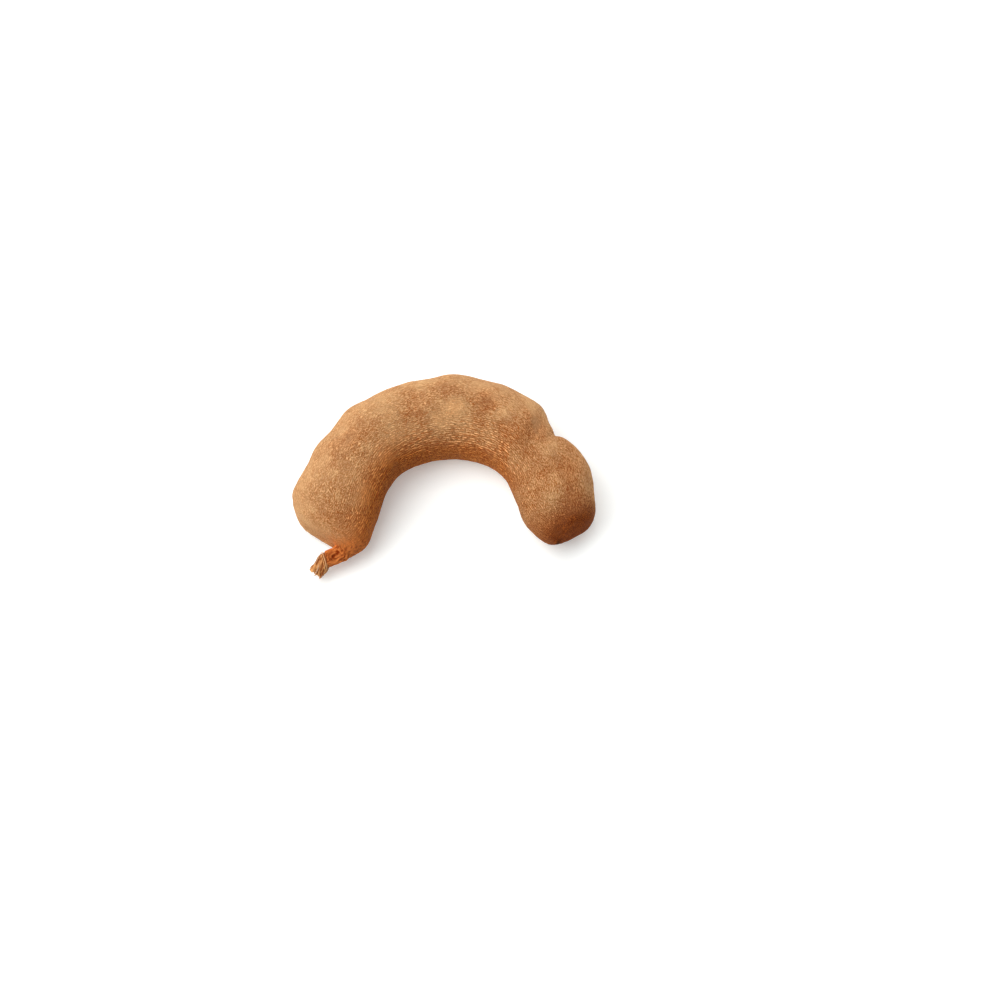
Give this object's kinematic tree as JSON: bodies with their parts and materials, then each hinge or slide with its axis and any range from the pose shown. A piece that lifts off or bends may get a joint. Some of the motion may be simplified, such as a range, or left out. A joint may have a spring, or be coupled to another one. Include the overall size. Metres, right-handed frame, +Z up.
{
  "type": "tamarind pod",
  "caption": "Whole ripe tamarind pod lying on its side: a curved, lumpy, brown shell with a small point at one end and a fibrous neck and broken stalk at the other.",
  "frame": {"origin": "middle of the part's box, on the surface that the pod lies on", "axes": "+X along the longest extent, from the stalk's side to the last lobe; +Z up, across the thinner way through the pod; the bend opens towards -Y"},
  "size_m": [0.094, 0.0646, 0.0255],
  "materials": {
    "shell": "matt, scurfy, light flecks on orange brown",
    "stalk": "matt, fibrous, torn at the end"
  },
  "bodies": {
    "root": {"pod": "shell", "stalk": "stalk"}
  },
  "joints": []
}
